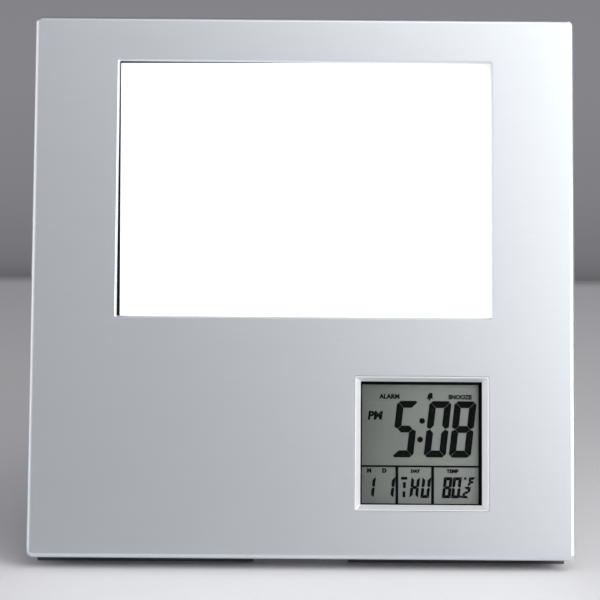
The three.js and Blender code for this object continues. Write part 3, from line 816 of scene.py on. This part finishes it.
def solder_joints():
    """A small cone of solder round each battery lead and each leg of the push switches."""
    bm = bmesh.new()
    spots = [(x, z, 0.95, 0.7) for x, z in SOLDERED_LEADS]
    for x in SWITCHES_X:
        spots += [(x + dx, SWITCHES_Z + dz, 0.45, 0.4) for dx in (-3.7, 3.7) for dz in (-2.2, 2.2)]
    sides = 16
    sunk = 0.02
    profile = ((1, 0), (0.72, 0.22), (0.5, 0.55), (0.34, 0.85), (0.15, 1))
    for x, z, radius, high in spots:
        rings = [
            ring(bm, circle(x, z, radius * share, sides), BOARD_BACK - sunk + high * rise)
            for share, rise in profile
        ]
        bridge(bm, rings)
        bm.faces.new(rings[0])
        bm.faces.new(rings[-1])
    bmesh.ops.recalc_face_normals(bm, faces=bm.faces)
    made = add_object("solder_joints", bm, LOOKS["steel"], "frame")
    shade(made, 60)


def chip_capacitors():
    """Small surface-mounted parts, each a pale body between two plated ends."""
    spots = ((27, 41), (27, 38.6), (45.6, 39.4), (55, 37.4))
    bodies, ends = bmesh.new(), bmesh.new()
    low, high = BOARD_BACK + 0.02, BOARD_BACK + 0.6
    for x, z in spots:
        plate(bodies, rounded_rectangle(x, z, 1.3, 0.78, 0.08, 2), (low, high))
        for side in (-1, 1):
            plate(ends, rounded_rectangle(x + side * 0.8, z, 0.4, 0.86, 0.1, 2), (low - 0.02, high + 0.03))
    for name, bm, look in (("capacitor_bodies", bodies, "white_plastic"), ("capacitor_ends", ends, "steel")):
        bmesh.ops.recalc_face_normals(bm, faces=bm.faces)
        add_object(name, bm, LOOKS[look], "frame")


foam_pad()
raised_marks()
board_tracks()
solder_joints()
chip_capacitors()

# ---------------------------------------------------------------- stage, light and camera
TABLE_BACK = 0.577


def paint_shade(made, far, near, darkest):
    """Paints shade into a material's colour: darker smoothly towards a y far behind the object."""
    tree = made.node_tree
    shader = tree.nodes["Principled BSDF"]
    color = shader.inputs["Base Color"].links[0].from_socket
    slope = along(made, "Object", "Y", far, near, low=darkest)
    slope.interpolation_type = "SMOOTHSTEP"
    dim = tree.nodes.new("ShaderNodeVectorMath")
    dim.operation = "SCALE"
    tree.links.new(color, dim.inputs[0])
    tree.links.new(slope.outputs["Result"], dim.inputs["Scale"])
    tree.links.new(dim.outputs["Vector"], shader.inputs["Base Color"])


def table_top():
    """A pale table with a rounded far edge; painted shade makes its colour darker towards the back and
    darkest at that edge.
    """
    made = material("table", (0.86, 0.86, 0.875), 0.5)
    cloud = noise(made, 3, detail=2)
    vary(made, cloud, "Base Color", (0.885, 0.885, 0.90), (0.925, 0.925, 0.94))
    # Painted shade: the colour darkens towards the back, then strongly over the last few centimetres before
    # the far edge.
    paint_shade(made, 0.22, -0.03, 0.8)
    paint_shade(made, TABLE_BACK, TABLE_BACK - 0.035, 0.45)
    grain = noise(made, 700, detail=3)
    bump(made, grain, 0.01, 0.3)
    bm = bmesh.new()
    low, high = Vector((-6, -5, -0.03)), Vector((6, TABLE_BACK, 0))
    bmesh.ops.create_cube(bm, size=1)
    for vert in bm.verts:
        vert.co = Vector(low[i] if vert.co[i] < 0 else high[i] for i in range(3))
    bmesh.ops.bevel(bm, geom=bm.edges[:], offset=0.004, segments=3, profile=0.5, affect="EDGES")
    mesh = bpy.data.meshes.new("table")
    bm.to_mesh(mesh)
    bm.free()
    mesh.materials.append(made)
    table = bpy.data.objects.new("table", mesh)
    bpy.context.scene.collection.objects.link(table)


def softbox(name, place, target, size, watts, spread=180):
    """A rectangular lamp that the camera doesn't see, with its spread in degrees."""
    lamp = bpy.data.lights.new(name, "AREA")
    lamp.shape = "RECTANGLE"
    lamp.size, lamp.size_y = size
    lamp.energy = watts
    lamp.spread = math.radians(spread)
    made = bpy.data.objects.new(name, lamp)
    made.location = place
    made.rotation_euler = (Vector(target) - Vector(place)).to_track_quat("-Z", "Y").to_euler()
    made.visible_camera = False
    bpy.context.scene.collection.objects.link(made)


table_top()
AIM = (0, 0, 0.08)
softbox("key_right", (0.75, -0.55, 0.55), AIM, (0.5, 0.5), 1.5)
softbox("key_high", (0.6, -0.2, 0.8), AIM, (0.5, 0.5), 1.98)
softbox("key_low", (0.5, -0.5, 0.25), AIM, (0.35, 0.35), 1.28)
softbox("near_right", (0.35, -0.45, 0.35), AIM, (0.25, 0.25), 0.32)
softbox("front_right", (0.5, -1.0, 0.5), AIM, (0.5, 0.5), 0.52)
softbox("front_high", (0.2, -0.6, 0.9), AIM, (0.6, 0.6), 2.15)
softbox("left_fill", (-0.7, -0.6, 0.5), AIM, (0.5, 0.5), 0.75)
softbox("left_panel", (-0.6, -0.08, 0.2), (-0.06, -0.02, 0.12), (0.5, 0.4), 0.125, spread=64)
softbox("right_panel", (0.55, -0.22, 0.2), (0, 0, 0.11), (0.35, 0.3), 0.065, spread=70)

# How bright the room is at each height above the horizon, in degrees, from the floor's edge to straight up.
ROOM_GREYS = (
    (-9, 0.115),
    (-8.4, 0.175),
    (-6.8, 0.213),
    (-4, 0.237),
    (8, 0.212),
    (30, 0.272),
    (52, 0.17),
    (90, 0.15),
)


def room():
    """Plain surroundings, lit by a grey that changes only with its height above the horizon."""
    world = bpy.data.worlds.new("room")
    bpy.context.scene.world = world
    world.use_nodes = True
    tree = world.node_tree
    sky = tree.nodes["Background"]
    sky.inputs["Strength"].default_value = 1.0
    lowest = math.sin(math.radians(ROOM_GREYS[0][0]))
    stops = []
    for degrees, grey in ROOM_GREYS:
        position = (math.sin(math.radians(degrees)) - lowest) / (1 - lowest)
        stops.append((position, (grey, 0.98 * grey, 1.06 * grey)))
    wall = color_ramp(tree, stops)
    scaled = along(world, "Generated", "Z", lowest, 1)
    tree.links.new(scaled.outputs["Result"], wall.inputs["Fac"])
    tree.links.new(wall.outputs["Color"], sky.inputs["Color"])


room()

CAMERA = Vector((-0.0037, -0.7474, 0.2078))
PITCH, YAW, ROLL = (math.radians(a) for a in (9.486, 0.217, 0.468))
ahead = Vector((math.sin(YAW) * math.cos(PITCH), math.cos(YAW) * math.cos(PITCH), -math.sin(PITCH)))
level_right = ahead.cross(Vector((0, 0, 1))).normalized()
level_up = level_right.cross(ahead)
right = math.cos(ROLL) * level_right + math.sin(ROLL) * level_up
up = -math.sin(ROLL) * level_right + math.cos(ROLL) * level_up
lens = bpy.data.cameras.new("camera")
lens.sensor_width = 36
lens.lens = 136.35
lens.clip_start = 0.05
lens.clip_end = 50
camera = bpy.data.objects.new("camera", lens)
camera.matrix_world = Matrix.Translation(CAMERA) @ Matrix((right, up, -ahead)).transposed().to_4x4()
bpy.context.scene.collection.objects.link(camera)
bpy.context.scene.camera = camera
bpy.context.scene.view_settings.view_transform = "Standard"
